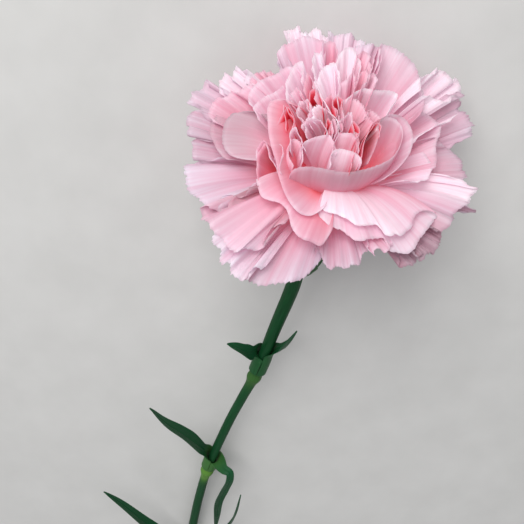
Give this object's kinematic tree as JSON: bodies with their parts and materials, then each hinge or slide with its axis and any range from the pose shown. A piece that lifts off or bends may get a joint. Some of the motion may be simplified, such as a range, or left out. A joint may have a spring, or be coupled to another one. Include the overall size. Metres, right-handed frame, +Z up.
{
  "type": "cut carnation flower",
  "caption": "Cut double pink carnation with ruffled petals on a jointed green stem with paired leaves, lying on its side.",
  "frame": {"origin": "middle of the bounding box on the surface that the flower lies on", "axes": "+X along the stem towards the bloom, +Z up from the surface"},
  "size_m": [0.2678, 0.0682, 0.064],
  "materials": {
    "petal_pink": "soft satin petal, thin and slightly translucent",
    "calyx_green": "waxy satin",
    "stem_green": "waxy satin with a blue-grey bloom",
    "leaf_green": "waxy satin"
  },
  "bodies": {
    "root": {"bloom": "petal_pink", "calyx": "calyx_green", "stem": "stem_green", "leaf_upper_left": "leaf_green", "leaf_upper_right": "leaf_green", "leaf_middle_left": "leaf_green", "leaf_middle_right": "leaf_green", "leaf_lower_left": "leaf_green", "leaf_lower_right": "leaf_green"}
  },
  "joints": []
}
